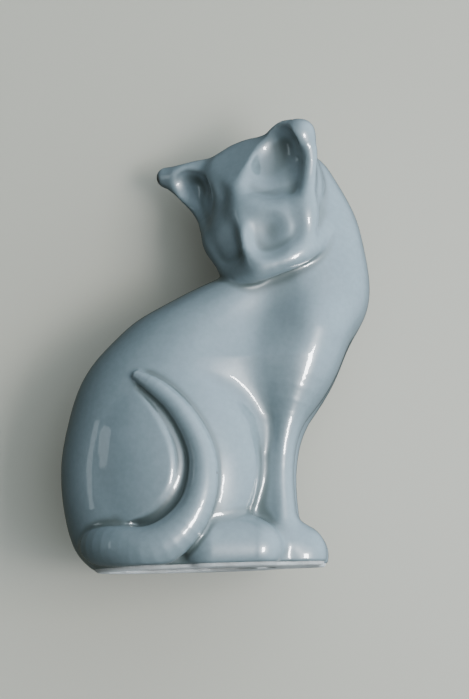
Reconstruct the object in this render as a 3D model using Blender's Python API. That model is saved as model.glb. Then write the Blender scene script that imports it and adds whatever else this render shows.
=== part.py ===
"""Ceramic cat figurine: a seated cat, slip-cast in sections that are luted together before firing.

The cat's chest faces +X, its head is turned to its right, toward -Y, and +Z is up.  The origin is the
middle of the foot, on the surface that the figurine stands on.  Forms are written as signed fields in
millimetres, negative inside the clay, and cast into meshes in metres.
"""

import bpy
import numpy as np
from mathutils import Matrix

MM = 0.001

# Driving dimensions, in millimetres.
WALL = 5.0
THINNEST_WALL = 3.6
LUTED_GAP = 0.3
HEAD_CENTRE = (25.5, -6.0, 143.5)
HEAD_YAW = 26.0
HEAD_ROLL = 12.0
FACE_SHIFT = 2.5
NECK_CUT = (8.0, 0.0, 117.0)
NECK_SLOPE_X = 0.12
NECK_SLOPE_Y = 0.28
EAR_CUT = 33.0
EAR_LEAN = 42.0
PLATE_THICKNESS = 2.7
FOOT_RING_WIDTH = 5.5
RECESS_DEPTH = 1.2
VENT_RADIUS = 2.5
VENT_PLACE = (-3.0, 3.0)
CENTRE_SHIFT = (-3.6, 3.0, 0.0)

# Hollow of the head, in the head's own axes, and the height at which the whole hollow ends.
HEAD_CAVITY_CENTRE = (0, 2, 5)
HEAD_CAVITY_RADII = (18, 15, 20)
CAVITY_TOP = 162

# Box around the figurine and the spacing of the casting grid.
GRID_LOW = (-70.0, -46.0, -10.0)
GRID_HIGH = (74.0, 42.0, 194.0)
CAST_BOTTOM = -3.0
OUTER_STEP = 1.9
CAVITY_STEP = 4.4
TAIL_STEP = 1.6
EVEN_SHARE = 0.9

# Triangles that each casting is thinned to.
OUTER_TRIANGLES = 7800
CAVITY_TRIANGLES = 1000
INSET_TRIANGLES = 300
TAIL_TRIANGLES = 900

# Head, in its own axes: ridges as stations (x, y, z, radius) on the cat's left, mirrored for its right.
KEEL_STATIONS = (
    (0, -12, 25, 4.5),
    (0, -16, 16, 4),
    (0, -18, 7, 3.5),
    (0, -21.8, -8, 3),
    (0.5, -21.8, -17, 3.6),
    (2, -19, -22.5, 4.5),
)
BROW_STATIONS = (
    (-2, -16, 3, 4),
    (8, -14, -1, 4),
    (15, -12, -2.5, 4),
    (20, -10, -4, 4),
)
CHEEK_STATIONS = (
    (28.5, -10, 19, 3.6),
    (25.5, -9.5, 11, 3.6),
    (23, -10, 3, 3.8),
    (21, -10.5, -4, 4.2),
    (19.5, -10.5, -13, 4),
    (15, -13, -20, 4),
    (5, -17, -22.5, 4.5),
)
EAR_RIM_STATIONS = (
    (10, -3, 28.5, 3.4),
    (17, -7.5, 31.5, 3.4),
    (24, -11, 31.5, 3.8),
)
RIGHT_RIM_DROP = 2.2
JAW_STATIONS = (
    (1.5, -19, -22.5, 4.2),
    (13.5, -13.5, -22, 3.6),
    (19, -6, -18.5, 3.6),
    (20.5, 3, -11, 4),
)
LEFT_EAR_TIP = (30, -12, 27, 5)
RIGHT_EAR_TIP = (-36.3, -5.5, 32.6, 3.1)
RIGHT_EAR_SWING = 5.5
EAR_ROOT = (14, -2, 25)
EAR_ROOT_RADIUS = 9
EAR_BACK_CENTRE = (20.5, -1, 13)
EAR_BACK_RADII = (7.5, 10, 15)
SKULL_CENTRE = (0, 2, 9)
SKULL_RADII = (25.5, 21, 28)
SKULL_POWER = 2.3
JAW_CENTRE = (2.5, 2, -7)
JAW_RADII = (22, 18, 18)
JAW_POWER = 2.8
WEDGE_CENTRE = (1.5, -9, -8)
WEDGE_RADII = (20, 13, 18)
FOREHEAD_NORMAL = (0.0, -0.85, 0.53)
FOREHEAD_REACH = 25.4

# Hollows of the head on its right (-1) and its left (1): the scoop of each ear and each eye socket.
SCOOP_ALONG = {-1: (-0.35, 0.3, 0.88), 1: (0.25, 0.42, 0.87)}
SCOOP_OUT = {-1: (-0.5, -0.85, 0.1), 1: (0.38, -0.85, 0.3)}
SCOOP_PLACE = {-1: (-24.6, -14.8, 20.5), 1: (18, -19.6, 20)}
SCOOP_RADII = {-1: (12, 10, 10), 1: (15, 12, 11.5)}
SOCKET_PLACE = {-1: (-13, -36.5, -10), 1: (13, -30.5, -12.5)}
SOCKET_RADIUS = 13
SOCKET_SOFTNESS = {-1: 6, 1: 2.2}

# Torso: outline of the back, hidden outline of the belly and half width, by height.
TORSO_HEIGHTS = (-6, 0, 5.5, 14, 24, 36.5, 47.5, 62, 77, 88, 97.5, 105, 111, 117, 122, 135)
TORSO_BACK = (
    -44, -48.5, -54, -58.5, -60.8, -62, -61.6, -58.6, -53.6, -46.6, -37.2, -27.8, -16.5, -4, 7.5, 20)
TORSO_BELLY = (24, 24, 24, 24, 23, 22, 22, 23, 26, 29, 31, 34, 38, 42, 46, 50)
TORSO_HALF_WIDTH = (24, 26, 27.5, 29, 30, 30.5, 30.5, 30, 28, 26.5, 24.5, 23, 21.5, 20, 19, 17)
TORSO_TOP = 130

CHEST_HEIGHTS = (60, 70, 80, 90, 100, 112, 122, 133, 146, 158, 170, 180)
CHEST_REAR = (24, 24, 25, 24.5, 22.5, 18, 12, 8, 8, 12, 18, 24)
CHEST_FRONT = (38, 42, 49.5, 57.5, 65, 69, 69, 67.5, 64.5, 59, 52, 45)
CHEST_HALF_WIDTH = (13, 16.5, 19, 20.5, 21.5, 22, 21.5, 20.5, 19, 17, 14, 10)
CHEST_BOTTOM = 62
CHEST_TOP = 176

# Masses beside the middle: y is the distance from it.
THIGH_CENTRE = (-12, 18, 43)
THIGH_RADII = (32.5, 17.5, 40)
HEEL_CENTRE = (0, 22, 8)
HEEL_RADIUS = 13
TOE_CENTRE = (17.5, 22, 7.5)
TOE_RADIUS = 11
INSTEP_CENTRE = (5, 20, 11)
INSTEP_RADII = (18, 10, 12.5)
FORE_PAW_CENTRE = (33.5, 11.5, 5)
FORE_PAW_RADII = (13, 9.5, 12.5)
SHOULDER_CENTRE = (38, 8, 87)
SHOULDER_RADII = (17, 16.5, 27)
SHOULDER_LEAN = 21
WEB_CENTRE = (22, 0, 40)
WEB_RADII = (10, 17.5, 62)
PAD_OUTLINE = (-47, 45, 28)
PAD_TOP = 4

# How widely the rear and the front of the cat melt together, by height.
MELDING_HEIGHTS = (45, 85, 105, 120)
MELDING = (4, 24, 13, 5)

LEG_STATIONS = (
    (43, 10, 96, 11),
    (37.5, 11, 78, 9.5),
    (32, 11.5, 60, 7),
    (29, 11.5, 44, 5.8),
    (28.5, 11.5, 28, 5.8),
    (29, 11, 10, 7),
)
LEG_FLATTENING = 0.74
FAR_LEG_AHEAD = 1.6
TAIL_STATIONS = (
    (-48, -5, 11, 6.5),
    (-45.5, -16, 10.5, 8),
    (-37, -25.5, 9.5, 8.6),
    (-24.5, -31.5, 8.4, 8.8),
    (-12.9, -33.5, 14.5, 8),
    (-5.5, -34, 24.6, 6.8),
    (-2.7, -33.8, 35.1, 6.2),
    (-3, -33.5, 45.7, 5.6),
    (-7.4, -33, 56.9, 4.9),
    (-14.5, -31.5, 67.1, 4.1),
    (-22.2, -29, 74.1, 3.3),
    (-28.1, -26.5, 78.2, 2),
)
GROOVE_STATIONS = (
    (-34, -25, 16.8, 1.5),
    (-26.5, -31.5, 17.8, 3),
    (-18.6, -35.5, 22.8, 4),
    (-12.5, -37.2, 30.8, 4.2),
    (-10, -37.4, 41, 4.2),
    (-11.8, -36.8, 51.5, 3.8),
    (-17, -35, 61.5, 3.2),
    (-22.6, -31.6, 69, 2.4),
    (-27.2, -28.6, 73.6, 1.6),
)

GLAZE_COLOUR = (0.36, 0.43, 0.47, 1.0)
GLAZE_ROUGHNESS = 0.08
CLAY_COLOUR = (0.78, 0.77, 0.74, 1.0)
CLAY_ROUGHNESS = 0.7


def clear_scene():
    for thing in list(bpy.data.objects):
        bpy.data.objects.remove(thing, do_unlink=True)


# Fields

def smooth_min(a, b, radius):
    blend = np.clip(0.5 + 0.5 * (b - a) / radius, 0.0, 1.0)
    return b * (1 - blend) + a * blend - radius * blend * (1 - blend)


def smooth_max(a, b, radius):
    return -smooth_min(-a, -b, radius)


def spline(at, knots, values):
    """Natural cubic spline through the knots, constant beyond them."""
    knots = np.asarray(knots, float)
    values = np.asarray(values, float)
    count = len(knots)
    step = np.diff(knots)
    slope = np.diff(values) / step
    system = np.eye(count)
    right = np.zeros(count)
    for i in range(1, count - 1):
        system[i, i - 1:i + 2] = step[i - 1], 2 * (step[i - 1] + step[i]), step[i]
        right[i] = 6 * (slope[i] - slope[i - 1])
    bend = np.linalg.solve(system, right)
    x = np.clip(at, knots[0], knots[-1])
    i = np.clip(np.searchsorted(knots, x) - 1, 0, count - 2)
    h = step[i]
    before = x - knots[i]
    after = knots[i + 1] - x
    cubic = (bend[i] * after**3 + bend[i + 1] * before**3) / (6 * h)
    rest_left = (values[i] / h - bend[i] * h / 6) * after
    rest_right = (values[i + 1] / h - bend[i + 1] * h / 6) * before
    return cubic + rest_left + rest_right


def turn(axis, degrees):
    return np.array(Matrix.Rotation(np.radians(degrees), 3, axis))


def ellipsoid(p, centre, radii, spin=None):
    q = p - np.asarray(centre, float)
    if spin is not None:
        q = q @ spin
    radii = np.asarray(radii, float)
    near = np.linalg.norm(q / radii, axis=-1)
    slope = np.linalg.norm(q / radii**2, axis=-1)
    return near * (near - 1) / np.maximum(slope, 1e-9)


def round_cone(p, start, end, start_radius, end_radius):
    start = np.asarray(start, float)
    along = np.asarray(end, float) - start
    t = np.clip((p - start) @ along / (along @ along), 0.0, 1.0)
    reach = np.linalg.norm(p - start - t[..., None] * along, axis=-1)
    return reach - (start_radius + (end_radius - start_radius) * t)


def tube(p, stations, count):
    """Round tube along a spline through stations (x, y, z, radius)."""
    stations = np.asarray(stations, float)
    legs = np.linalg.norm(np.diff(stations[:, :3], axis=0), axis=1)
    length = np.concatenate([[0], np.cumsum(legs)])
    at = np.linspace(0, length[-1], count)
    path = np.stack([spline(at, length, stations[:, k]) for k in range(4)], axis=1)
    pieces = [round_cone(p, a[:3], b[:3], a[3], b[3]) for a, b in zip(path[:-1], path[1:])]
    return np.minimum.reduce(pieces)


def loft(p, heights, rear, front, half_width):
    """Upright form of elliptical sections between a rear and a front outline."""
    z = p[..., 2]
    x_rear = spline(z, heights, rear)
    x_front = spline(z, heights, front)
    half = (x_front - x_rear) / 2
    wide = spline(z, heights, half_width)
    u = p[..., 0] - (x_rear + x_front) / 2
    v = p[..., 1]
    near = np.hypot(u / half, v / wide)
    slope = np.hypot(u / half**2, v / wide**2)
    return near * (near - 1) / np.maximum(slope, 1e-9)


# Forms of the cat

def torso(p):
    side = loft(p, TORSO_HEIGHTS, TORSO_BACK, TORSO_BELLY, TORSO_HALF_WIDTH)
    return smooth_max(side, p[..., 2] - TORSO_TOP, 8)


def chest(p):
    side = loft(p, CHEST_HEIGHTS, CHEST_REAR, CHEST_FRONT, CHEST_HALF_WIDTH)
    side = smooth_max(side, CHEST_BOTTOM - p[..., 2], 14)
    return smooth_max(side, p[..., 2] - CHEST_TOP, 10)


def beside(place, side):
    return np.array(place) * (1, side, 1)


def foreleg(p, side, ahead):
    q = p * np.array([1, LEG_FLATTENING, 1])
    stations = [(x + ahead, side * y * LEG_FLATTENING, z, r) for x, y, z, r in LEG_STATIONS]
    leg = tube(q, stations, 16)
    paw = ellipsoid(p - np.array([ahead, 0, 0]), beside(FORE_PAW_CENTRE, side), FORE_PAW_RADII)
    return smooth_min(leg, paw, 5)


def thigh(p, side):
    return ellipsoid(p, beside(THIGH_CENTRE, side), THIGH_RADII)


def hind_paw(p, side):
    toes = round_cone(p, beside(HEEL_CENTRE, side), beside(TOE_CENTRE, side), HEEL_RADIUS, TOE_RADIUS)
    instep = ellipsoid(p, beside(INSTEP_CENTRE, side), INSTEP_RADII)
    return smooth_min(toes, instep, 4)


def plinth(p):
    """Low pad between the paws, flush with the foot ring."""
    rear, front, half_width = ((value, value) for value in PAD_OUTLINE)
    pad = loft(p, (0, 1), rear, front, half_width)
    return smooth_max(pad, p[..., 2] - PAD_TOP, 2)


def shoulder(p, side):
    return ellipsoid(p, beside(SHOULDER_CENTRE, side), SHOULDER_RADII, turn("Y", SHOULDER_LEAN))


def body(p):
    rear = torso(p)
    for side in (-1, 1):
        rear = smooth_min(rear, thigh(p, side), 3)
        rear = smooth_min(rear, hind_paw(p, side), 2.5)
    legs = smooth_min(foreleg(p, -1, 0), foreleg(p, 1, FAR_LEG_AHEAD), 3)
    web = ellipsoid(p, WEB_CENTRE, WEB_RADII)
    front = smooth_min(smooth_min(chest(p), legs, 12), web, 4)
    for side in (-1, 1):
        front = smooth_min(front, shoulder(p, side), 6)
    melding = np.interp(p[..., 2], MELDING_HEIGHTS, MELDING)
    return smooth_min(smooth_min(rear, front, melding), plinth(p), 2)


def head_spin():
    return turn("Z", -HEAD_YAW) @ turn("Y", -HEAD_ROLL)


def head_axes(p):
    """Into the head's own axes: x to the cat's left, y to the back of the head, z up."""
    return (p - np.asarray(HEAD_CENTRE)) @ head_spin()


def bulk(p, centre, radii, power):
    """Ellipsoid with fuller shoulders as the power rises above 2."""
    q = np.abs(p - np.asarray(centre, float)) / radii
    near = np.maximum((q**power).sum(axis=-1), 1e-9) ** (1 / power)
    slope = np.linalg.norm((q / near[..., None]) ** (power - 1) / radii, axis=-1)
    return (near - 1) / np.maximum(slope, 1e-9)


def spin_of(along, out):
    """Columns: along a form, across it, and out of its face."""
    along = np.asarray(along, float) / np.linalg.norm(along)
    out = np.asarray(out, float) - along * (along @ np.asarray(out, float))
    out = out / np.linalg.norm(out)
    return np.stack([along, np.cross(out, along), out], axis=1)


def mirrored(stations, side):
    return [(FACE_SHIFT + side * x, y, z, radius) for x, y, z, radius in stations]


def swung(stations, side, low, high):
    """On the cat's right the ear is swung back: fully above one height, not at all below another."""
    if side > 0:
        return stations
    placed = []
    for x, y, z, radius in stations:
        swing = np.interp(z, (low, high), (0, RIGHT_EAR_SWING))
        placed.append((x - 0.43 * swing, y + swing, z + 0.25 * swing, radius))
    return placed


def ear_form(q, side):
    tip = LEFT_EAR_TIP if side > 0 else RIGHT_EAR_TIP
    root = np.array(EAR_ROOT) * (side, 1, 1)
    blade = round_cone(q, root, tip[:3], EAR_ROOT_RADIUS, tip[3])
    outer = tube(q, [tip] + swung(mirrored(CHEEK_STATIONS, side), side, -10, 15), 18)
    drop = 0 if side > 0 else RIGHT_RIM_DROP
    rim = [(side * x, y, z - drop, radius) for x, y, z, radius in EAR_RIM_STATIONS]
    upper = tube(q, swung(rim, side, 26, 30) + [tip], 10)
    x, y, z = EAR_BACK_CENTRE
    back = ellipsoid(q, (FACE_SHIFT + side * x, y, z), EAR_BACK_RADII)
    return smooth_min(smooth_min(blade, back, 5), smooth_min(outer, upper, 2), 4)


def head(p):
    q = head_axes(p)
    skull = bulk(q, SKULL_CENTRE, SKULL_RADII, SKULL_POWER)
    jaw = bulk(q, JAW_CENTRE, JAW_RADII, JAW_POWER)
    wedge = ellipsoid(q, WEDGE_CENTRE, WEDGE_RADII)
    keel = tube(q, KEEL_STATIONS, 12)
    form = smooth_min(smooth_min(skull, jaw, 6), smooth_min(keel, wedge, 3.5), 5)
    form = smooth_max(form, q @ np.array(FOREHEAD_NORMAL) - FOREHEAD_REACH, 1.2)
    for side in (-1, 1):
        form = smooth_min(form, ear_form(q, side), 3.5)
        form = smooth_min(form, tube(q, mirrored(BROW_STATIONS, side), 8), 8)
        form = smooth_min(form, tube(q, mirrored(JAW_STATIONS, side), 12), 5)
    for side in (-1, 1):
        spin = spin_of(SCOOP_ALONG[side], SCOOP_OUT[side])
        scoop = ellipsoid(q, SCOOP_PLACE[side], SCOOP_RADII[side], spin)
        form = smooth_max(form, -scoop, np.interp(q[..., 2], (8, 22), (10.0, 1.5)))
        socket = np.linalg.norm(q - np.array(SOCKET_PLACE[side]), axis=-1) - SOCKET_RADIUS
        form = smooth_max(form, -socket, SOCKET_SOFTNESS[side])
    return form


def outer(p):
    """Outside of the casting, without the tail, running a little below the foot."""
    field = smooth_min(body(p), head(p), 2.5)
    field = smooth_max(field, -tube(p, GROOVE_STATIONS, 28), 2)
    return np.maximum(field, CAST_BOTTOM - p[..., 2])


def cavity(p):
    """Space left inside when the slip is poured out."""
    skull = ellipsoid(head_axes(p), HEAD_CAVITY_CENTRE, HEAD_CAVITY_RADII)
    inside = smooth_min(torso(p) + WALL, chest(p) + WALL, 6)
    inside = smooth_min(inside, skull, 6)
    inside = smooth_max(inside, p[..., 2] - CAVITY_TOP, 4)
    inside = smooth_max(inside, outer(p) + THINNEST_WALL, 2)
    return np.maximum(inside, CAST_BOTTOM - p[..., 2])


def inset(p):
    return np.maximum(body(p) + FOOT_RING_WIDTH, CAST_BOTTOM - p[..., 2])


def tail(p):
    return tube(p, TAIL_STATIONS, 36)


# Casting a field into a mesh

def sample(field, low, step, count):
    """Field on a grid, one sheet of constant x at a time."""
    axes = [low[k] + step * np.arange(count[k]) for k in range(3)]
    sheets = []
    for x in axes[0]:
        points = np.stack(np.meshgrid([x], axes[1], axes[2], indexing="ij"), axis=-1)
        sheets.append(field(points)[0])
    return np.array(sheets)


def mixed_cells(values):
    """Number of each grid cell that the surface passes through, -1 for the others."""
    inside = (values < 0).astype(int)
    total = inside[:-1] + inside[1:]
    total = total[:, :-1] + total[:, 1:]
    total = total[:, :, :-1] + total[:, :, 1:]
    mixed = (total > 0) & (total < 8)
    number = np.full(mixed.shape, -1)
    number[mixed] = np.arange(mixed.sum())
    return number


def crossing_quads(values, number, axis, low, step):
    """Crossings of the grid lines along one axis and the quad of cells around each."""
    first = np.take(values, range(values.shape[axis] - 1), axis)
    second = np.take(values, range(1, values.shape[axis]), axis)
    crossed = (first < 0) != (second < 0)
    at = np.argwhere(crossed)
    points = low + step * at.astype(float)
    points[:, axis] += step * first[crossed] / (first[crossed] - second[crossed])
    corners = []
    for back_u, back_v in ((1, 1), (0, 1), (0, 0), (1, 0)):
        cell = at.copy()
        cell[:, (axis + 1) % 3] -= back_u
        cell[:, (axis + 2) % 3] -= back_v
        corners.append(number[tuple(cell.T)])
    quads = np.stack(corners, axis=1)
    falling = second[crossed] < 0
    quads[falling] = quads[falling, ::-1]
    return points, quads


def polygonise(field, step):
    """Closed quad mesh of the field's zero surface: one point per mixed cell."""
    low = np.array(GRID_LOW)
    count = np.ceil((np.array(GRID_HIGH) - low) / step).astype(int) + 1
    values = sample(field, low, step, count)
    number = mixed_cells(values)
    sums = np.zeros((number.max() + 1, 3))
    hits = np.zeros(number.max() + 1)
    faces = []
    for axis in range(3):
        points, quads = crossing_quads(values, number, axis, low, step)
        for corner in quads.T:
            np.add.at(sums, corner, points)
            np.add.at(hits, corner, 1)
        faces.append(quads)
    return settle(field, sums / hits[:, None]), np.concatenate(faces)


def settle(field, points):
    """Points moved along the slope until they lie on the zero surface."""
    reach = 0.05
    for _ in range(3):
        slope = np.empty_like(points)
        for k in range(3):
            offset = reach * np.eye(3)[k]
            slope[:, k] = (field(points + offset) - field(points - offset)) / (2 * reach)
        steep = np.maximum((slope**2).sum(axis=1), 0.04)
        points = points - (field(points) / steep)[:, None] * slope
    return points


def cast(name, field, step, triangles):
    """Object with the field's surface, made even and thinned to a number of triangles."""
    points, quads = polygonise(field, step)
    points = points + CENTRE_SHIFT
    mesh = bpy.data.meshes.new(name + "_raw")
    mesh.from_pydata((points * MM).tolist(), [], quads.tolist())
    raw = place(name + "_raw", mesh)
    even = raw.modifiers.new("Even", "REMESH")
    even.mode = "VOXEL"
    even.voxel_size = step * EVEN_SHARE * MM
    thing = evaluated_copy(name, raw)
    bpy.data.objects.remove(raw, do_unlink=True)
    thing.data.shade_smooth()
    thin = thing.modifiers.new("Thin", "DECIMATE")
    thin.ratio = min(1.0, triangles / (2 * len(thing.data.polygons)))
    return thing


def place(name, mesh):
    thing = bpy.data.objects.new(name, mesh)
    bpy.context.collection.objects.link(thing)
    return thing


def evaluated_copy(name, source):
    """New object with the source's mesh as its modifiers leave it."""
    bpy.context.view_layer.update()
    graph = bpy.context.evaluated_depsgraph_get()
    mesh = bpy.data.meshes.new_from_object(source.evaluated_get(graph))
    mesh.name = name
    return place(name, mesh)


# Cutters and Booleans

def as_cutter(thing):
    thing.hide_render = True
    thing.display_type = "WIRE"
    return thing


def block(name, size, middle, matrix):
    """Box cutter given in millimetres in the axes of a 4 by 4 matrix."""
    corners = [(x, y, z) for x in (-0.5, 0.5) for y in (-0.5, 0.5) for z in (-0.5, 0.5)]
    points = [[middle[k] + size[k] * c[k] for k in range(3)] for c in corners]
    faces = [(0, 1, 3, 2), (4, 6, 7, 5), (0, 4, 5, 1), (2, 3, 7, 6), (0, 2, 6, 4), (1, 5, 7, 3)]
    mesh = bpy.data.meshes.new(name)
    mesh.from_pydata([[c * MM for c in point] for point in points], [], faces)
    thing = as_cutter(place(name, mesh))
    thing.matrix_world = matrix
    return thing


def cylinder(name, radius, low, high, at):
    bpy.ops.mesh.primitive_cylinder_add(
        vertices=32, radius=radius * MM, depth=(high - low) * MM,
        location=(at[0] * MM, at[1] * MM, (low + high) / 2 * MM))
    thing = bpy.context.active_object
    thing.name = name
    return as_cutter(thing)


def boolean(thing, cutter, operation):
    step = thing.modifiers.new(operation.title(), "BOOLEAN")
    step.object = cutter
    step.operation = operation
    step.solver = "EXACT"


def neck_matrix():
    """Axes on the plane where the head is luted to the neck, z pointing up out of the body."""
    up = np.array([-NECK_SLOPE_X, -NECK_SLOPE_Y, 1.0])
    up /= np.linalg.norm(up)
    along = np.cross([0.0, 1.0, 0.0], up)
    along /= np.linalg.norm(along)
    spin = Matrix(np.stack([along, np.cross(up, along), up], axis=1).tolist())
    spot = np.array(NECK_CUT) + CENTRE_SHIFT
    return Matrix.Translation((spot * MM).tolist()) @ spin.to_4x4()


def ear_matrix(side):
    """Axes at the root of an ear, z pointing out along the ear."""
    spin = Matrix((head_spin() @ turn("Y", side * EAR_LEAN)).tolist())
    spot = np.array(HEAD_CENTRE) + CENTRE_SHIFT
    return Matrix.Translation((spot * MM).tolist()) @ spin.to_4x4()


def neck_blocks():
    above = block("cut_above_neck", (240, 240, 160), (0, 0, 80 - LUTED_GAP / 2), neck_matrix())
    below = block("cut_below_neck", (240, 240, 200), (0, 0, -100 + LUTED_GAP / 2), neck_matrix())
    return above, below


def ear_blocks(side, label):
    size = (70, 90, 60)
    keep = block(f"keep_{label}", size, (0, 0, EAR_CUT + 30 + LUTED_GAP / 2), ear_matrix(side))
    drop = block(f"drop_{label}", size, (0, 0, EAR_CUT + 30 - LUTED_GAP / 2), ear_matrix(side))
    return keep, drop


# Sections of the figurine

def body_shell(skin, hollow, above_neck):
    shell = evaluated_copy("body_shell", skin)
    foot = block("cut_below_body", (240, 240, 40), (0, 0, PLATE_THICKNESS + LUTED_GAP - 20), Matrix())
    boolean(shell, above_neck, "DIFFERENCE")
    boolean(shell, foot, "DIFFERENCE")
    boolean(shell, hollow, "DIFFERENCE")
    return shell


def head_shell(skin, hollow, below_neck, ear_cuts):
    shell = evaluated_copy("head_shell", skin)
    boolean(shell, below_neck, "DIFFERENCE")
    for cut in ear_cuts:
        boolean(shell, cut, "DIFFERENCE")
    boolean(shell, hollow, "DIFFERENCE")
    return shell


def ear(name, skin, keep):
    section = evaluated_copy(name, skin)
    boolean(section, keep, "INTERSECT")
    return section


def tail_roll(skin):
    roll = cast("tail", tail, TAIL_STEP, TAIL_TRIANGLES)
    clearance = as_cutter(evaluated_copy("tail_clearance", skin))
    grow = clearance.modifiers.new("Gap", "DISPLACE")
    grow.strength = LUTED_GAP * MM
    grow.mid_level = 0.0
    floor = block("cut_below_tail", (240, 240, 40), (0, 0, PLATE_THICKNESS + LUTED_GAP - 20), Matrix())
    boolean(roll, clearance, "DIFFERENCE")
    boolean(roll, floor, "DIFFERENCE")
    return roll


def base_plate(skin):
    plate = evaluated_copy("base_plate", skin)
    slab = block("keep_plate", (240, 240, PLATE_THICKNESS), (0, 0, PLATE_THICKNESS / 2), Matrix())
    recess = as_cutter(cast("plate_recess", inset, CAVITY_STEP, INSET_TRIANGLES))
    recess_slab = block("keep_recess", (240, 240, RECESS_DEPTH + 2), (0, 0, RECESS_DEPTH / 2 - 1), Matrix())
    boolean(recess, recess_slab, "INTERSECT")
    vent = cylinder("vent", VENT_RADIUS, -2, PLATE_THICKNESS + 2, VENT_PLACE)
    boolean(plate, slab, "INTERSECT")
    boolean(plate, recess, "DIFFERENCE")
    boolean(plate, vent, "DIFFERENCE")
    return plate


def material(name, colour, roughness, coat):
    made = bpy.data.materials.new(name)
    made.use_nodes = True
    shader = made.node_tree.nodes["Principled BSDF"]
    shader.inputs["Base Color"].default_value = colour
    shader.inputs["Roughness"].default_value = roughness
    shader.inputs["Metallic"].default_value = 0.0
    shader.inputs["Coat Weight"].default_value = coat
    return made


def paint(thing, colour):
    thing.data.materials.clear()
    thing.data.materials.append(colour)


def build():
    clear_scene()
    skin = as_cutter(cast("outer_skin", outer, OUTER_STEP, OUTER_TRIANGLES))
    hollow = as_cutter(cast("hollow", cavity, CAVITY_STEP, CAVITY_TRIANGLES))
    above_neck, below_neck = neck_blocks()
    keep_left, drop_left = ear_blocks(1, "left_ear")
    keep_right, drop_right = ear_blocks(-1, "right_ear")
    glazed = [
        body_shell(skin, hollow, above_neck),
        head_shell(skin, hollow, below_neck, (drop_left, drop_right)),
        ear("left_ear", skin, keep_left),
        ear("right_ear", skin, keep_right),
        tail_roll(skin),
    ]
    for thing in glazed:
        paint(thing, material(f"glaze_{thing.name}", GLAZE_COLOUR, GLAZE_ROUGHNESS, 1.0))
    paint(base_plate(skin), material("bare_clay", CLAY_COLOUR, CLAY_ROUGHNESS, 0.0))


build()
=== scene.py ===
"""Ceramic cat figurine: one glazed skin over the cast sections, and an unglazed foot.

Forms are written as signed fields in millimetres, negative inside the clay, in the cat's own axes:
its chest faces +X, its head is turned toward -Y, and +Z is up.
"""

import math

import bpy
import numpy as np
from mathutils import Matrix, Vector


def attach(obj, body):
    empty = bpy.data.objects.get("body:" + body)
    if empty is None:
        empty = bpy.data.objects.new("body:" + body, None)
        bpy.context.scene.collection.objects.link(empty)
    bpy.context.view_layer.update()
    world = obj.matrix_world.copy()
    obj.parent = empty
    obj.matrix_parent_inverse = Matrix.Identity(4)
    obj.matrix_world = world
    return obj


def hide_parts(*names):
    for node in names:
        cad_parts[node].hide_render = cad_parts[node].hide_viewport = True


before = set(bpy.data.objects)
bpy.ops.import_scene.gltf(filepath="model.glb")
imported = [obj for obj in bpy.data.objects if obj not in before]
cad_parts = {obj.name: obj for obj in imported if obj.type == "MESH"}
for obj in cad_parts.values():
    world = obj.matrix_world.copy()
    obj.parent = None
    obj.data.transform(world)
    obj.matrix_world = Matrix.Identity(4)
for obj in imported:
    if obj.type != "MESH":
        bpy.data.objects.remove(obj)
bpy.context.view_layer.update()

MM = 0.001

# Driving dimensions, in millimetres and degrees, the same as the cast sections have.
HEAD_CENTRE = (25.5, -6.0, 143.5)
HEAD_YAW = 26.0
HEAD_ROLL = 12.0
CENTRE_SHIFT = (-3.6, 3.0, 0.0)

GRID_LOW = (-70.0, -46.0, -10.0)
GRID_HIGH = (74.0, 42.0, 194.0)
SKIN_SPACING = (1.4, 0.75)
RING_SPACING = (1.0, 0.7)

# Glaze: height it was wiped off to, the roundness there, and the bare spot on an ear tip in the head's axes.
GLAZE_LINE = 1.3
GLAZE_ROUNDING = 1.2
BARE_SPOT = (-39, -7.5, 32.3)
BARE_RADIUS = 1.9
BULGE_REACH = 1.6
HOLLOW_REACH = 5.0

# Foot: thickness, how far its rim and its recess lie inside the body, the recess's depth and the vent.
FOOT_TOP = 3
FOOT_INSET = 0.6
RECESS_INSET = 6.1
RECESS_DEPTH = 1.4
VENT_RADIUS = 2.5

# Ridges of the head, in its own axes: stations (x, y, z, radius) on the cat's left, mirrored for its right.
FACE_SHIFT = 2.5
KEEL_STATIONS = (
    (0, -12, 25, 4.5),
    (0, -16, 16, 4),
    (0, -18, 7, 3.5),
    (0, -21.8, -8, 3),
    (0.5, -21.8, -17, 3.6),
    (2, -19, -22.5, 4.5),
)
BROW_STATIONS = (
    (-2, -16, 3, 4),
    (8, -14, -1, 4),
    (15, -12, -2.5, 4),
    (20, -10, -4, 4),
)
CHEEK_STATIONS = (
    (28.5, -10, 19, 3.6),
    (25.5, -9.5, 11, 3.6),
    (23, -10, 3, 3.8),
    (21, -10.5, -4, 4.2),
    (19.5, -10.5, -13, 4),
    (15, -13, -20, 4),
    (5, -17, -22.5, 4.5),
)
EAR_RIM_STATIONS = (
    (10, -3, 28.5, 3.4),
    (17, -7.5, 31.5, 3.4),
    (24, -11, 31.5, 3.8),
)
RIGHT_RIM_DROP = 2.2
JAW_STATIONS = (
    (1.5, -19, -22.5, 4.2),
    (13.5, -13.5, -22, 3.6),
    (19, -6, -18.5, 3.6),
    (20.5, 3, -11, 4),
)
LEFT_EAR_TIP = (30, -12, 27, 5)
RIGHT_EAR_TIP = (-36.3, -5.5, 32.6, 3.1)
RIGHT_EAR_SWING = 5.5
EAR_ROOT = (14, -2, 25)
EAR_ROOT_RADIUS = 9
EAR_BACK_CENTRE = (20.5, -1, 13)
EAR_BACK_RADII = (7.5, 10, 15)
SKULL_CENTRE = (0, 2, 9)
SKULL_RADII = (25.5, 21, 28)
SKULL_POWER = 2.3
JAW_CENTRE = (2.5, 2, -7)
JAW_RADII = (22, 18, 18)
JAW_POWER = 2.8
WEDGE_CENTRE = (1.5, -9, -8)
WEDGE_RADII = (20, 13, 18)
FOREHEAD_NORMAL = (0.0, -0.85, 0.53)
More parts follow.
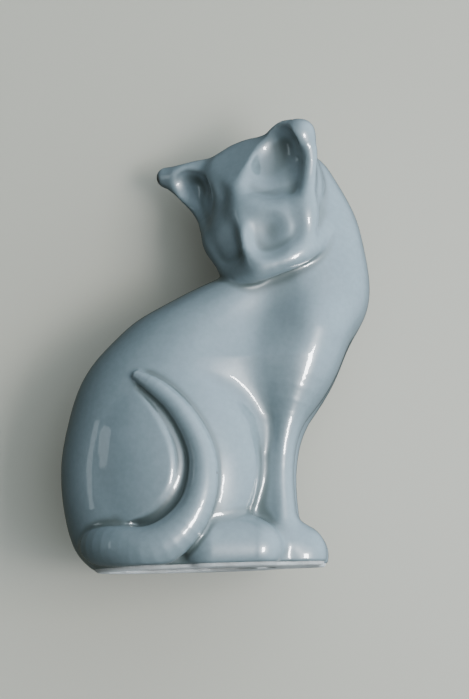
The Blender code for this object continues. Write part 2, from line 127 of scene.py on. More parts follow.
FOREHEAD_REACH = 25.4

# Hollows of the head on its right (-1) and its left (1): the scoop of each ear and each eye socket.
SCOOP_ALONG = {-1: (-0.35, 0.3, 0.88), 1: (0.25, 0.42, 0.87)}
SCOOP_OUT = {-1: (-0.5, -0.85, 0.1), 1: (0.38, -0.85, 0.3)}
SCOOP_PLACE = {-1: (-24.6, -14.8, 20.5), 1: (18, -19.6, 20)}
SCOOP_RADII = {-1: (12, 10, 10), 1: (15, 12, 11.5)}
SOCKET_PLACE = {-1: (-13, -36.5, -10), 1: (13, -30.5, -12.5)}
SOCKET_RADIUS = 13
SOCKET_SOFTNESS = {-1: 6, 1: 2.2}

# Torso: outline of the back, hidden outline of the belly and half width, by height.
TORSO_HEIGHTS = (-6, 0, 5.5, 14, 24, 36.5, 47.5, 62, 77, 88, 97.5, 105, 111, 117, 122, 135)
TORSO_BACK = (
    -44, -48.5, -54, -58.5, -60.8, -62, -61.6, -58.6, -53.6, -46.6, -37.2, -27.8, -16.5, -4, 7.5, 20)
TORSO_BELLY = (24, 24, 24, 24, 23, 22, 22, 23, 26, 29, 31, 34, 38, 42, 46, 50)
TORSO_HALF_WIDTH = (24, 26, 27.5, 29, 30, 30.5, 30.5, 30, 28, 26.5, 24.5, 23, 21.5, 20, 19, 17)
TORSO_TOP = 130

# Chest and neck: the same, from the breast up into the head.
CHEST_HEIGHTS = (60, 70, 80, 90, 100, 112, 122, 133, 146, 158, 170, 180)
CHEST_REAR = (24, 24, 25, 24.5, 22.5, 18, 12, 8, 8, 12, 18, 24)
CHEST_FRONT = (38, 42, 49.5, 57.5, 65, 69, 69, 67.5, 64.5, 59, 52, 45)
CHEST_HALF_WIDTH = (13, 16.5, 19, 20.5, 21.5, 22, 21.5, 20.5, 19, 17, 14, 10)
CHEST_BOTTOM = 62
CHEST_TOP = 176

# Masses beside the middle: y is the distance from it.
THIGH_CENTRE = (-12, 18, 43)
THIGH_RADII = (32.5, 17.5, 40)
HEEL_CENTRE = (0, 22, 8)
HEEL_RADIUS = 13
TOE_CENTRE = (17.5, 22, 7.5)
TOE_RADIUS = 11
INSTEP_CENTRE = (5, 20, 11)
INSTEP_RADII = (18, 10, 12.5)
FORE_PAW_CENTRE = (33.5, 11.5, 5)
FORE_PAW_RADII = (13, 9.5, 12.5)
SHOULDER_CENTRE = (38, 8, 87)
SHOULDER_RADII = (17, 16.5, 27)
SHOULDER_LEAN = 21
WEB_CENTRE = (22, 0, 40)
WEB_RADII = (10, 17.5, 62)
PAD_OUTLINE = (-47, 45, 28)
PAD_TOP = 4

# How widely the rear and the front of the cat melt together, by height.
MELDING_HEIGHTS = (45, 85, 105, 120)
MELDING = (4, 24, 13, 5)

# Foreleg, tail and the groove along the tail: stations (x, y, z, radius).
LEG_STATIONS = (
    (43, 10, 96, 11),
    (37.5, 11, 78, 9.5),
    (32, 11.5, 60, 7),
    (29, 11.5, 44, 5.8),
    (28.5, 11.5, 28, 5.8),
    (29, 11, 10, 7),
)
LEG_FLATTENING = 0.74
FAR_LEG_AHEAD = 1.6
TAIL_STATIONS = (
    (-48, -5, 11, 6.5),
    (-45.5, -16, 10.5, 8),
    (-37, -25.5, 9.5, 8.6),
    (-24.5, -31.5, 8.4, 8.8),
    (-12.9, -33.5, 14.5, 8),
    (-5.5, -34, 24.6, 6.8),
    (-2.7, -33.8, 35.1, 6.2),
    (-3, -33.5, 45.7, 5.6),
    (-7.4, -33, 56.9, 4.9),
    (-14.5, -31.5, 67.1, 4.1),
    (-22.2, -29, 74.1, 3.3),
    (-28.1, -26.5, 78.2, 2),
)
GROOVE_STATIONS = (
    (-34, -25, 16.8, 1.5),
    (-26.5, -31.5, 17.8, 3),
    (-18.6, -35.5, 22.8, 4),
    (-12.5, -37.2, 30.8, 4.2),
    (-10, -37.4, 41, 4.2),
    (-11.8, -36.8, 51.5, 3.8),
    (-17, -35, 61.5, 3.2),
    (-22.6, -31.6, 69, 2.4),
    (-27.2, -28.6, 73.6, 1.6),
)


# Fields, in millimetres and negative inside

def smooth_min(a, b, radius):
    blend = np.clip(0.5 + 0.5 * (b - a) / radius, 0.0, 1.0)
    return b * (1 - blend) + a * blend - radius * blend * (1 - blend)


def smooth_max(a, b, radius):
    return -smooth_min(-a, -b, radius)


def spline(at, knots, values):
    """Natural cubic spline through the knots, constant beyond them."""
    knots = np.asarray(knots, float)
    values = np.asarray(values, float)
    count = len(knots)
    step = np.diff(knots)
    slope = np.diff(values) / step
    system = np.eye(count)
    right = np.zeros(count)
    for i in range(1, count - 1):
        system[i, i - 1:i + 2] = step[i - 1], 2 * (step[i - 1] + step[i]), step[i]
        right[i] = 6 * (slope[i] - slope[i - 1])
    bend = np.linalg.solve(system, right)
    x = np.clip(at, knots[0], knots[-1])
    i = np.clip(np.searchsorted(knots, x) - 1, 0, count - 2)
    h = step[i]
    before = x - knots[i]
    after = knots[i + 1] - x
    cubic = (bend[i] * after**3 + bend[i + 1] * before**3) / (6 * h)
    rest_left = (values[i] / h - bend[i] * h / 6) * after
    rest_right = (values[i + 1] / h - bend[i + 1] * h / 6) * before
    return cubic + rest_left + rest_right


def turn(axis, degrees):
    return np.array(Matrix.Rotation(np.radians(degrees), 3, axis))


def ellipsoid(p, centre, radii, spin=None):
    q = p - np.asarray(centre, float)
    if spin is not None:
        q = q @ spin
    radii = np.asarray(radii, float)
    near = np.linalg.norm(q / radii, axis=-1)
    slope = np.linalg.norm(q / radii**2, axis=-1)
    return near * (near - 1) / np.maximum(slope, 1e-9)


def round_cone(p, start, end, start_radius, end_radius):
    start = np.asarray(start, float)
    along = np.asarray(end, float) - start
    t = np.clip((p - start) @ along / (along @ along), 0.0, 1.0)
    reach = np.linalg.norm(p - start - t[..., None] * along, axis=-1)
    return reach - (start_radius + (end_radius - start_radius) * t)


def tube(p, stations, count):
    """Round tube along a spline through stations (x, y, z, radius)."""
    stations = np.asarray(stations, float)
    legs = np.linalg.norm(np.diff(stations[:, :3], axis=0), axis=1)
    length = np.concatenate([[0], np.cumsum(legs)])
    at = np.linspace(0, length[-1], count)
    path = np.stack([spline(at, length, stations[:, k]) for k in range(4)], axis=1)
    pieces = [round_cone(p, a[:3], b[:3], a[3], b[3]) for a, b in zip(path[:-1], path[1:])]
    return np.minimum.reduce(pieces)


def loft(p, heights, rear, front, half_width):
    """Upright form of elliptical sections between a rear and a front outline."""
    z = p[..., 2]
    x_rear = spline(z, heights, rear)
    x_front = spline(z, heights, front)
    half = (x_front - x_rear) / 2
    wide = spline(z, heights, half_width)
    u = p[..., 0] - (x_rear + x_front) / 2
    v = p[..., 1]
    near = np.hypot(u / half, v / wide)
    slope = np.hypot(u / half**2, v / wide**2)
    return near * (near - 1) / np.maximum(slope, 1e-9)


# Forms of the cat

def torso(p):
    side = loft(p, TORSO_HEIGHTS, TORSO_BACK, TORSO_BELLY, TORSO_HALF_WIDTH)
    return smooth_max(side, p[..., 2] - TORSO_TOP, 8)


def chest(p):
    side = loft(p, CHEST_HEIGHTS, CHEST_REAR, CHEST_FRONT, CHEST_HALF_WIDTH)
    side = smooth_max(side, CHEST_BOTTOM - p[..., 2], 14)
    return smooth_max(side, p[..., 2] - CHEST_TOP, 10)


def beside(place, side):
    return np.array(place) * (1, side, 1)


def foreleg(p, side, ahead):
    q = p * np.array([1, LEG_FLATTENING, 1])
    stations = [(x + ahead, side * y * LEG_FLATTENING, z, r) for x, y, z, r in LEG_STATIONS]
    leg = tube(q, stations, 16)
    paw = ellipsoid(p - np.array([ahead, 0, 0]), beside(FORE_PAW_CENTRE, side), FORE_PAW_RADII)
    return smooth_min(leg, paw, 5)


def thigh(p, side):
    return ellipsoid(p, beside(THIGH_CENTRE, side), THIGH_RADII)


def hind_paw(p, side):
    toes = round_cone(p, beside(HEEL_CENTRE, side), beside(TOE_CENTRE, side), HEEL_RADIUS, TOE_RADIUS)
    instep = ellipsoid(p, beside(INSTEP_CENTRE, side), INSTEP_RADII)
    return smooth_min(toes, instep, 4)


def plinth(p):
    """Low pad between the paws, flush with the foot ring."""
    rear, front, half_width = ((value, value) for value in PAD_OUTLINE)
    pad = loft(p, (0, 1), rear, front, half_width)
    return smooth_max(pad, p[..., 2] - PAD_TOP, 2)


def shoulder(p, side):
    return ellipsoid(p, beside(SHOULDER_CENTRE, side), SHOULDER_RADII, turn("Y", SHOULDER_LEAN))


def body(p):
    rear = torso(p)
    for side in (-1, 1):
        rear = smooth_min(rear, thigh(p, side), 3)
        rear = smooth_min(rear, hind_paw(p, side), 2.5)
    legs = smooth_min(foreleg(p, -1, 0), foreleg(p, 1, FAR_LEG_AHEAD), 3)
    web = ellipsoid(p, WEB_CENTRE, WEB_RADII)
    front = smooth_min(smooth_min(chest(p), legs, 12), web, 4)
    for side in (-1, 1):
        front = smooth_min(front, shoulder(p, side), 6)
    melding = np.interp(p[..., 2], MELDING_HEIGHTS, MELDING)
    return smooth_min(smooth_min(rear, front, melding), plinth(p), 2)


def head_spin():
    return turn("Z", -HEAD_YAW) @ turn("Y", -HEAD_ROLL)


def head_axes(p):
    """Into the head's own axes: x to the cat's left, y to the back of the head, z up."""
    return (p - np.asarray(HEAD_CENTRE)) @ head_spin()


def bulk(p, centre, radii, power):
    """Ellipsoid with fuller shoulders as the power rises above 2."""
    q = np.abs(p - np.asarray(centre, float)) / radii
    near = np.maximum((q**power).sum(axis=-1), 1e-9) ** (1 / power)
    slope = np.linalg.norm((q / near[..., None]) ** (power - 1) / radii, axis=-1)
    return (near - 1) / np.maximum(slope, 1e-9)


def spin_of(along, out):
    """Columns: along a form, across it, and out of its face."""
    along = np.asarray(along, float) / np.linalg.norm(along)
    out = np.asarray(out, float) - along * (along @ np.asarray(out, float))
    out = out / np.linalg.norm(out)
    return np.stack([along, np.cross(out, along), out], axis=1)


def mirrored(stations, side):
    return [(FACE_SHIFT + side * x, y, z, radius) for x, y, z, radius in stations]


def swung(stations, side, low, high):
    """On the cat's right the ear is swung back: fully above one height, not at all below another."""
    if side > 0:
        return stations
    placed = []
    for x, y, z, radius in stations:
        swing = np.interp(z, (low, high), (0, RIGHT_EAR_SWING))
        placed.append((x - 0.43 * swing, y + swing, z + 0.25 * swing, radius))
    return placed


def ear(q, side):
    tip = LEFT_EAR_TIP if side > 0 else RIGHT_EAR_TIP
    root = np.array(EAR_ROOT) * (side, 1, 1)
    blade = round_cone(q, root, tip[:3], EAR_ROOT_RADIUS, tip[3])
    outer = tube(q, [tip] + swung(mirrored(CHEEK_STATIONS, side), side, -10, 15), 18)
    drop = 0 if side > 0 else RIGHT_RIM_DROP
    rim = [(side * x, y, z - drop, radius) for x, y, z, radius in EAR_RIM_STATIONS]
    upper = tube(q, swung(rim, side, 26, 30) + [tip], 10)
    x, y, z = EAR_BACK_CENTRE
    back = ellipsoid(q, (FACE_SHIFT + side * x, y, z), EAR_BACK_RADII)
    return smooth_min(smooth_min(blade, back, 5), smooth_min(outer, upper, 2), 4)


def head(p):
    q = head_axes(p)
    skull = bulk(q, SKULL_CENTRE, SKULL_RADII, SKULL_POWER)
    jaw = bulk(q, JAW_CENTRE, JAW_RADII, JAW_POWER)
    wedge = ellipsoid(q, WEDGE_CENTRE, WEDGE_RADII)
    keel = tube(q, KEEL_STATIONS, 12)
    form = smooth_min(smooth_min(skull, jaw, 6), smooth_min(keel, wedge, 3.5), 5)
    form = smooth_max(form, q @ np.array(FOREHEAD_NORMAL) - FOREHEAD_REACH, 1.2)
    for side in (-1, 1):
        form = smooth_min(form, ear(q, side), 3.5)
        form = smooth_min(form, tube(q, mirrored(BROW_STATIONS, side), 8), 8)
        form = smooth_min(form, tube(q, mirrored(JAW_STATIONS, side), 12), 5)
    for side in (-1, 1):
        spin = spin_of(SCOOP_ALONG[side], SCOOP_OUT[side])
        scoop = ellipsoid(q, SCOOP_PLACE[side], SCOOP_RADII[side], spin)
        form = smooth_max(form, -scoop, np.interp(q[..., 2], (8, 22), (10.0, 1.5)))
        socket = np.linalg.norm(q - np.array(SOCKET_PLACE[side]), axis=-1) - SOCKET_RADIUS
        form = smooth_max(form, -socket, SOCKET_SOFTNESS[side])
    return form


def tail(p):
    return tube(p, TAIL_STATIONS, 36)


def whole(p):
    """Outside of the finished figurine, tail and all."""
    field = smooth_min(body(p), head(p), 2.5)
    field = smooth_max(field, -tube(p, GROOVE_STATIONS, 28), 2)
    return smooth_min(field, tail(p), 1.5)


# Casting a field into a mesh

def sample(field, low, step, count):
    """Field on a grid, one sheet of constant x at a time."""
    axes = [low[k] + step * np.arange(count[k]) for k in range(3)]
    sheets = []
    for x in axes[0]:
        points = np.stack(np.meshgrid([x], axes[1], axes[2], indexing="ij"), axis=-1)
        sheets.append(field(points)[0])
    return np.array(sheets)


def mixed_cells(values):
    """Number of each grid cell that the surface passes through, -1 for the others."""
    inside = (values < 0).astype(int)
    total = inside[:-1] + inside[1:]
    total = total[:, :-1] + total[:, 1:]
    total = total[:, :, :-1] + total[:, :, 1:]
    mixed = (total > 0) & (total < 8)
    number = np.full(mixed.shape, -1)
    number[mixed] = np.arange(mixed.sum())
    return number


def crossing_quads(values, number, axis, low, step):
    """Crossings of the grid lines along one axis and the quad of cells around each."""
    first = np.take(values, range(values.shape[axis] - 1), axis)
    second = np.take(values, range(1, values.shape[axis]), axis)
    crossed = (first < 0) != (second < 0)
    at = np.argwhere(crossed)
    points = low + step * at.astype(float)
    points[:, axis] += step * first[crossed] / (first[crossed] - second[crossed])
    corners = []
    for back_u, back_v in ((1, 1), (0, 1), (0, 0), (1, 0)):
        cell = at.copy()
        cell[:, (axis + 1) % 3] -= back_u
        cell[:, (axis + 2) % 3] -= back_v
        corners.append(number[tuple(cell.T)])
    quads = np.stack(corners, axis=1)
    falling = second[crossed] < 0
    quads[falling] = quads[falling, ::-1]
    return points, quads


def polygonise(field, step):
    """Closed quad mesh of the field's zero surface: one point per mixed cell."""
    low = np.array(GRID_LOW)
    count = np.ceil((np.array(GRID_HIGH) - low) / step).astype(int) + 1
    values = sample(field, low, step, count)
    number = mixed_cells(values)
    sums = np.zeros((number.max() + 1, 3))
    hits = np.zeros(number.max() + 1)
    faces = []
    for axis in range(3):
        points, quads = crossing_quads(values, number, axis, low, step)
        for corner in quads.T:
            np.add.at(sums, corner, points)
            np.add.at(hits, corner, 1)
        faces.append(quads)
    return sums / hits[:, None], np.concatenate(faces)


def slope_of(field, points, reach=0.05):
    slope = np.empty_like(points)
    for k in range(3):
        offset = reach * np.eye(3)[k]
        slope[:, k] = (field(points + offset) - field(points - offset)) / (2 * reach)
    return slope


def settle(field, points, rounds=3):
    """Points moved along the slope until they lie on the zero surface."""
    for _ in range(rounds):
        slope = slope_of(field, points)
        steep = np.maximum((slope**2).sum(axis=1), 0.04)
        points = points - (field(points) / steep)[:, None] * slope
    return points


def skin_field(p):
    """Glazed skin, rounded under at the line where the glaze was wiped off the foot."""
    return smooth_max(whole(p), GLAZE_LINE - p[..., 2], GLAZE_ROUNDING)


def cast(name, field, coarse, fine):
    """Even, fine mesh of a field's surface, in metres."""
    points, quads = polygonise(field, coarse)
    rough = new_object(name + "_rough", points, quads.tolist())
    even = rough.modifiers.new("Even", "REMESH")
    even.mode = "VOXEL"
    even.voxel_size = fine * MM
    bpy.context.view_layer.update()
    graph = bpy.context.evaluated_depsgraph_get()
    mesh = bpy.data.meshes.new_from_object(rough.evaluated_get(graph))
    bpy.data.objects.remove(rough, do_unlink=True)
    points = mesh_points(mesh) / MM - CENTRE_SHIFT
    points = settle(field, points)
    mesh.vertices.foreach_set("co", ((points + CENTRE_SHIFT) * MM).astype(np.float32).ravel())
    mesh.name = name
    mesh.shade_smooth()
    mesh.update()
    piece = bpy.data.objects.new(name, mesh)
    bpy.context.collection.objects.link(piece)
    return piece, points


def mesh_points(mesh):
    flat = np.empty(3 * len(mesh.vertices), np.float32)
    mesh.vertices.foreach_get("co", flat)
    return flat.reshape(-1, 3).astype(float)


def new_object(name, points, faces):
    mesh = bpy.data.meshes.new(name)
    mesh.from_pydata(((np.asarray(points) + CENTRE_SHIFT) * MM).tolist(), [], faces)
    thing = bpy.data.objects.new(name, mesh)
    bpy.context.collection.objects.link(thing)
    return thing


def store(piece, name, values):
    """One number for each point of the piece, read by its material."""
    layer = piece.data.attributes.new(name, "FLOAT", "POINT")
    layer.data.foreach_set("value", np.asarray(values, np.float32))


def bend_of(field, points, reach):
    """How much the surface bulges (positive) or hollows (negative) over a distance."""
    total = np.zeros(len(points))
    for k in range(3):
        offset = reach * np.eye(3)[k]
        total += field(points + offset) + field(points - offset)
    return total / (6 * reach)


# Materials

class Nodes:
    """Adds nodes to a material's tree, giving each its settings and its inputs."""

    def __init__(self, name):
        self.material = bpy.data.materials.new(name)
        self.material.use_nodes = True
        self.tree = self.material.node_tree
        self.shader = self.tree.nodes["Principled BSDF"]

    def add(self, kind, inputs=(), **settings):
        node = self.tree.nodes.new("ShaderNode" + kind)
        for name, value in settings.items():
            setattr(node, name, value)
        for name, value in dict(inputs).items():
            self.feed(node.inputs[name], value)
        return node

    def feed(self, socket, value):
        if isinstance(value, bpy.types.NodeSocket):
            self.tree.links.new(value, socket)
        else:
            socket.default_value = value

    def place(self):
        return self.add("TexCoord").outputs["Object"]

    def point_value(self, name):
        return self.add("Attribute", attribute_name=name).outputs["Fac"]

    def noise(self, scale, detail=2.0, roughness=0.5, distortion=0.0):
        inputs = {"Vector": self.place(), "Scale": scale, "Detail": detail, "Roughness": roughness,
                  "Distortion": distortion}
        return self.add("TexNoise", inputs).outputs[0]

    def spread(self, value, low, high, to_low=0.0, to_high=1.0):
        inputs = {"Value": value, "From Min": low, "From Max": high, "To Min": to_low, "To Max": to_high}
        return self.add("MapRange", inputs, interpolation_type="SMOOTHSTEP").outputs[0]

    def maths(self, operation, first, second, clamp=False):
        return self.add("Math", {0: first, 1: second}, operation=operation, use_clamp=clamp).outputs[0]

    def mix(self, share, first, second, blend="MIX"):
        node = self.add("Mix", data_type="RGBA", blend_type=blend)
        self.feed(node.inputs[0], share)
        self.feed(node.inputs[6], first)
        self.feed(node.inputs[7], second)
        return node.outputs[2]

    def bump(self, height, distance, normal=None, strength=1.0):
        inputs = {"Height": height, "Distance": distance, "Strength": strength}
        if normal is not None:
            inputs["Normal"] = normal
        return self.add("Bump", inputs).outputs[0]


# Dark glaze colour: a random darker tone of the glaze, and the painted shade laid into hollows.
GLAZE_DARK_TONE_AND_SHADE = (0.072, 0.090, 0.082, 1)
GLAZE_MAIN = (0.166, 0.210, 0.222, 1)
GLAZE_THIN = (0.335, 0.395, 0.415, 1)
GLAZE_MILKY = (0.220, 0.274, 0.294, 1)
FIRED_BROWN = (0.060, 0.034, 0.022, 1)


def glaze_material():
    """Thick blue-grey glaze: pale where it ran thin over ridges, and darkened in hollows with painted shade.
    """
    made = Nodes("blue_grey_glaze")
    thin = made.spread(made.point_value("bulge"), 0.02, 0.26)
    painted_shade = made.spread(made.point_value("hollow"), 0.01, 0.16)
    clouds = made.spread(made.noise(26, 3, 0.55, 0.4), 0.38, 0.66)
    drift = made.spread(made.noise(9, 2, 0.5), 0.35, 0.65)
    colour = made.mix(made.maths("MULTIPLY", clouds, 0.35), GLAZE_MAIN, GLAZE_MILKY)
    colour = made.mix(made.maths("MULTIPLY", drift, 0.18), colour, GLAZE_DARK_TONE_AND_SHADE)
    mottle = made.spread(made.noise(420, 2, 0.6), 0.30, 0.70, 0.0, 0.10)
    colour = made.mix(mottle, colour, GLAZE_THIN)
    # Painted shade: the dark glaze colour laid into hollows, ear cavities and grooves, where shade falls.
    colour = made.mix(made.maths("MULTIPLY", painted_shade, 0.85), colour, GLAZE_DARK_TONE_AND_SHADE)
    colour = made.mix(made.maths("MULTIPLY", thin, 0.65), colour, GLAZE_THIN)
    cells = made.add("TexVoronoi", {"Vector": made.place(), "Scale": 95.0, "Randomness": 1.0})
    chosen = made.spread(made.add("SeparateColor", {0: cells.outputs["Color"]}).outputs[0], 0.93, 0.94)
    dot = made.spread(cells.outputs["Distance"], 0.035, 0.06, 1.0, 0.0)
    pinhole = made.maths("MULTIPLY", chosen, dot)
    colour = made.mix(made.maths("MULTIPLY", pinhole, 0.85), colour, FIRED_BROWN)
    bare = made.point_value("bare")
    colour = made.mix(bare, colour, FIRED_BROWN)
    shader = made.shader
    made.feed(shader.inputs["Base Color"], colour)
    made.feed(shader.inputs["Roughness"], made.spread(made.noise(60, 3, 0.6), 0.3, 0.7, 0.30, 0.42))
    shader.inputs["IOR"].default_value = 1.5
    shader.inputs["Coat Weight"].default_value = 1.0
    shader.inputs["Coat IOR"].default_value = 1.52
    film = made.spread(made.noise(75, 2, 0.6), 0.45, 0.75, 0.012, 0.035)
    made.feed(shader.inputs["Coat Roughness"], made.maths("ADD", film, made.maths("MULTIPLY", bare, 0.5)))
    ripples = made.bump(made.noise(48, 2, 0.5), 0.00050, strength=0.5)
    peel = made.bump(made.noise(330, 2, 0.5), 0.00004, ripples, 0.6)
    pits = made.bump(pinhole, -0.0003, peel)
    made.feed(shader.inputs["Coat Normal"], pits)
    made.feed(shader.inputs["Normal"], pits)
    return made.material


CLAY_WHITE = (0.640, 0.640, 0.620, 1)
CLAY_WARM = (0.470, 0.440, 0.395, 1)
# Darker clay colour, laid up from the foot face into the recess.
CLAY_RECESS_DARK = (0.200, 0.185, 0.165, 1)


def clay_material():
    """Sponged, unglazed clay: fine grain, drag marks, and a darker, mottled colour up into the recess."""
    made = Nodes("bare_clay")
    patches = made.spread(made.noise(70, 4, 0.6), 0.35, 0.70)
    colour = made.mix(made.maths("MULTIPLY", patches, 0.6), CLAY_WHITE, CLAY_WARM)
    recessed = made.point_value("hollow")
    # Darker, mottled colour rising from the foot face into the recess.
    recess_darkening = made.maths("MULTIPLY", recessed, made.spread(made.noise(150, 4, 0.7), 0.3, 0.7, 0.4, 1.0))
    colour = made.mix(made.maths("MULTIPLY", recess_darkening, 0.8), colour, CLAY_RECESS_DARK)
    specks = made.add("TexVoronoi", {"Vector": made.place(), "Scale": 420.0})
    speck = made.spread(specks.outputs["Distance"], 0.10, 0.20, 0.5, 0.0)
    colour = made.mix(speck, colour, CLAY_WARM)
    shader = made.shader
    made.feed(shader.inputs["Base Color"], colour)
    made.feed(shader.inputs["Roughness"], made.spread(made.noise(200, 3), 0.3, 0.7, 0.68, 0.88))
    drag = made.bump(made.noise(160, 3, 0.6, 1.5), 0.0003)
    grain = made.bump(made.noise(1500, 3, 0.7), 0.00012, drag)
    made.feed(shader.inputs["Normal"], grain)
    return made.material


# Pieces

def glazed_skin():
    coarse, fine = SKIN_SPACING
    skin, points = cast("glazed_skin", skin_field, coarse, fine)
    store(skin, "bulge", np.clip(bend_of(whole, points, BULGE_REACH), 0, 1))
    # How hollow the skin is at each point; the glaze paints shade into hollows from it.
    store(skin, "hollow", np.clip(-bend_of(whole, points, HOLLOW_REACH), 0, 1))
    tip = np.asarray(HEAD_CENTRE) + head_spin() @ np.array(BARE_SPOT)
    reach = np.linalg.norm(points - tip, axis=1)
    store(skin, "bare", 1 / (1 + (reach / BARE_RADIUS)**8))
    skin.data.materials.append(glaze_material())
    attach(skin, "root")
    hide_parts("body_shell", "head_shell", "left_ear", "right_ear", "tail")
    return skin


def foot_ring():
    def field(p):
        plate = smooth_max(body(p) + FOOT_INSET, p[..., 2] - FOOT_TOP, 0.3)
        plate = smooth_max(plate, -p[..., 2], 0.5)
        recess = smooth_max(body(p) + RECESS_INSET, p[..., 2] - RECESS_DEPTH, 0.4)
        vent = np.hypot(p[..., 0], p[..., 1]) - VENT_RADIUS
        return smooth_max(smooth_max(plate, -recess, 0.5), -vent, 0.4)
    coarse, fine = RING_SPACING
    ring, points = cast("foot_ring", field, coarse, fine)
    # Height above the foot face, up into the recess; the clay is darker by it.
    store(ring, "hollow", np.clip(points[:, 2] / RECESS_DEPTH, 0, 1))
    ring.data.materials.append(clay_material())
    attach(ring, "root")
    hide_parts("base_plate")
    return ring


# Stage, lights and camera, in the view of someone looking down on the cat as it lies on its flank

CAMERA_DISTANCE = 0.829
CAMERA_PLACE = Vector((0.0116, -CAMERA_DISTANCE, -0.031)) + Vector(CENTRE_SHIFT) * MM
LOOK_UP = math.radians(8.4)
ROLL = math.radians(1.9)
LENS = 103.0
FLOOR_BEHIND = 0.037
FLOOR_HALF_SIZE = 1.5
FLOOR_COLOUR = (0.44, 0.400, 0.315, 1)


def camera_axes():
    forward = Vector((0, math.cos(LOOK_UP), math.sin(LOOK_UP)))
    upright = Vector((0, -math.sin(LOOK_UP), math.cos(LOOK_UP)))
    across = Vector((1, 0, 0))
    right = across * math.cos(ROLL) - upright * math.sin(ROLL)
    up = upright * math.cos(ROLL) + across * math.sin(ROLL)
    return right, up, forward


def camera():
    right, up, forward = camera_axes()
    data = bpy.data.cameras.new("camera")
    data.sensor_width = 36
    data.lens = LENS
    data.clip_end = 20
    thing = bpy.data.objects.new("camera", data)
    matrix = Matrix((right, up, -forward)).transposed().to_4x4()
    matrix.translation = CAMERA_PLACE
    thing.matrix_world = matrix
    bpy.context.collection.objects.link(thing)
    bpy.context.scene.camera = thing


def floor():
    right, up, forward = camera_axes()
    centre = CAMERA_PLACE + forward * (CAMERA_DISTANCE / math.cos(LOOK_UP) + FLOOR_BEHIND)
    across = right * FLOOR_HALF_SIZE
    upward = up * FLOOR_HALF_SIZE
    corners = [centre + across * sx + upward * sy for sx, sy in ((-1, -1), (1, -1), (1, 1), (-1, 1))]
    mesh = bpy.data.meshes.new("floor")
    mesh.from_pydata(corners, [], [(0, 1, 2, 3)])
    thing = bpy.data.objects.new("floor", mesh)
    bpy.context.collection.objects.link(thing)
    made = bpy.data.materials.new("pale_floor")
    made.use_nodes = True
    tree = made.node_tree
    shader = tree.nodes["Principled BSDF"]
    shader.inputs["Base Color"].default_value = FLOOR_COLOUR
    shader.inputs["Roughness"].default_value = 0.6
    output = tree.nodes["Material Output"]
    facing = tree.nodes.new("ShaderNodeNewGeometry")
    clear = tree.nodes.new("ShaderNodeBsdfTransparent")
    pick = tree.nodes.new("ShaderNodeMixShader")
    tree.links.new(facing.outputs["Backfacing"], pick.inputs[0])
    tree.links.new(shader.outputs[0], pick.inputs[1])
    tree.links.new(clear.outputs[0], pick.inputs[2])
    tree.links.new(pick.outputs[0], output.inputs["Surface"])
    mesh.materials.append(made)
    thing.visible_diffuse = False
    thing.visible_glossy = False
    return thing


LIGHT_TARGET = Vector((0, 0, 0.09))
DAYLIGHT_COLOUR = (0.97, 0.99, 1.0)
DOORWAY_COLOUR = (0.80, 0.93, 1.0)

# Lights: name, direction in the view's axes, distance, width and height in metres, watts, colour, and
# whether it lights diffuse and glossy surfaces.
LIGHTS = (
    ("window", (0.52, -0.12, 0.85), 1.3, 0.28, 0.42, 42, DAYLIGHT_COLOUR, False, True),
    ("daylight", (0.60, 0.05, 0.80), 1.3, 0.45, 0.55, 11, DAYLIGHT_COLOUR, True, False),
    ("doorway", (-0.95, 0.10, 0.28), 1.2, 0.16, 0.62, 0.5, DOORWAY_COLOUR, False, True),
    ("fill", (0.15, 0.35, -1.0), 1.1, 0.6, 0.6, 9, DAYLIGHT_COLOUR, True, False),
)


def toward(direction, distance):
    """World point in a direction from the middle of the cat, given as right, up and back in the view."""
    right, up, forward = camera_axes()
    right_share, up_share, back_share = direction
    heading = (right * right_share + up * up_share - forward * back_share).normalized()
    return LIGHT_TARGET + heading * distance


def lights():
    for name, direction, distance, width, height, power, colour, diffuse, glossy in LIGHTS:
        data = bpy.data.lights.new(name, "AREA")
        data.shape = "RECTANGLE"
        data.size = width
        data.size_y = height
        data.energy = power
        data.color = colour
        thing = bpy.data.objects.new(name, data)
        thing.location = toward(direction, distance)
        thing.rotation_euler = (LIGHT_TARGET - thing.location).to_track_quat("-Z", "Y").to_euler()
        thing.visible_diffuse = diffuse
        thing.visible_glossy = glossy
        bpy.context.collection.objects.link(thing)


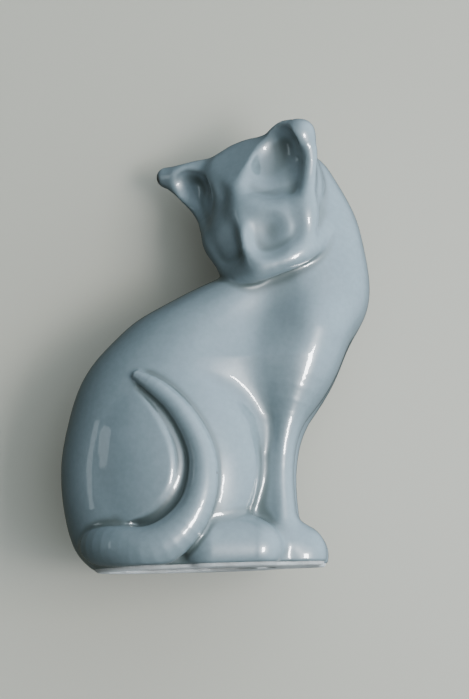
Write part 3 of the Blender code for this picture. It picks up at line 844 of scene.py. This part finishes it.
PALE_SURROUND = (0.62, 0.60, 0.56, 1)
SKY_STOPS = (
    (0.20, (0.060, 0.068, 0.058, 1)),
    (0.395, (0.075, 0.085, 0.075, 1)),
    (0.405, (0.230, 0.260, 0.265, 1)),
    (0.64, (0.380, 0.450, 0.490, 1)),
    (0.96, (2.400, 2.950, 3.500, 1)),
)


def studio_world():
    """Dim and greenish on the left of the view, bright and cool on its right and above."""
    world = bpy.data.worlds.new("studio")
    world.use_nodes = True
    tree = world.node_tree
    right, up, forward = camera_axes()
    bright = (right * 0.82 + up * 0.36 - forward * 0.42).normalized()
    place = tree.nodes.new("ShaderNodeTexCoord")
    dot = tree.nodes.new("ShaderNodeVectorMath")
    dot.operation = "DOT_PRODUCT"
    dot.inputs[1].default_value = bright
    tree.links.new(place.outputs["Generated"], dot.inputs[0])
    ramp = tree.nodes.new("ShaderNodeValToRGB")
    ramp.color_ramp.interpolation = "LINEAR"
    spread = tree.nodes.new("ShaderNodeMapRange")
    spread.inputs["From Min"].default_value = -1
    spread.inputs["From Max"].default_value = 1
    tree.links.new(dot.outputs["Value"], spread.inputs["Value"])
    tree.links.new(spread.outputs[0], ramp.inputs["Fac"])
    stops = ramp.color_ramp.elements
    stops[0].position = SKY_STOPS[0][0]
    stops[0].color = SKY_STOPS[0][1]
    stops[1].position = SKY_STOPS[-1][0]
    stops[1].color = SKY_STOPS[-1][1]
    for position, colour in SKY_STOPS[1:-1]:
        stops.new(position).color = colour
    seen = tree.nodes.new("ShaderNodeLightPath")
    pick = tree.nodes.new("ShaderNodeMix")
    pick.data_type = "RGBA"
    pick.inputs[7].default_value = PALE_SURROUND
    tree.links.new(seen.outputs["Is Camera Ray"], pick.inputs[0])
    tree.links.new(ramp.outputs[0], pick.inputs[6])
    background = tree.nodes["Background"]
    background.inputs["Strength"].default_value = 1.0
    tree.links.new(pick.outputs[2], background.inputs["Color"])
    bpy.context.scene.world = world


camera()
floor()
lights()
studio_world()
glazed_skin()
foot_ring()
